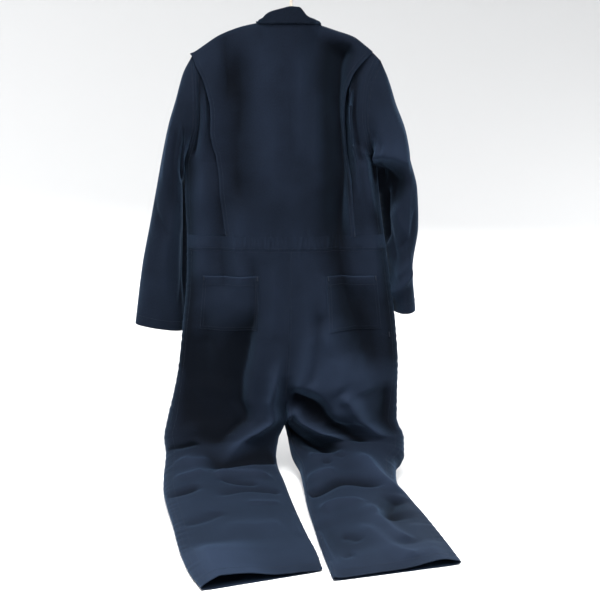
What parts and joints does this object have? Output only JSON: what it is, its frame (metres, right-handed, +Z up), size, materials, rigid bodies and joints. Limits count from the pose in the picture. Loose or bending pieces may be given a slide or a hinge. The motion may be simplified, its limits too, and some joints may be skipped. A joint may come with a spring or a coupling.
{
  "type": "boiler suit on hanger",
  "caption": "Boiler suit hung from its hanger's hook: action back, gathered waist, back patch pockets, long sleeves, lower legs lying forward on a surface, neck, cuffs and hems open.",
  "frame": {"origin": "the point of the hanger's hook that bears on a rod or wall hook, 1.19 m above the surface that the lower legs lie on", "axes": "+Z up; -Y the way the back of the suit faces and its lower legs lie; +X toward the wearer's right"},
  "size_m": [0.7338, 0.7685, 1.1968],
  "materials": {
    "twill": "navy cotton and polyester twill, matt with a slight sheen on the crowns of its folds",
    "pale_plastic": "smooth, satin",
    "snap_metal": "dull plated"
  },
  "bodies": {
    "root": {"back_centre": "twill", "side_back_left": "twill", "side_back_right": "twill", "waist_casing": "twill", "front_left": "twill", "front_right": "twill", "trouser_front_left": "twill", "trouser_front_right": "twill", "trouser_back_left": "twill", "trouser_back_right": "twill", "sleeve_left": "twill", "sleeve_right": "twill", "pocket_left": "twill", "pocket_right": "twill", "collar": "twill", "placket": "twill", "snap_1": "snap_metal", "snap_2": "snap_metal", "snap_3": "snap_metal", "snap_4": "snap_metal", "snap_5": "snap_metal", "snap_6": "snap_metal", "hanger_arms": "pale_plastic", "hanger_hook": "pale_plastic"}
  },
  "joints": []
}
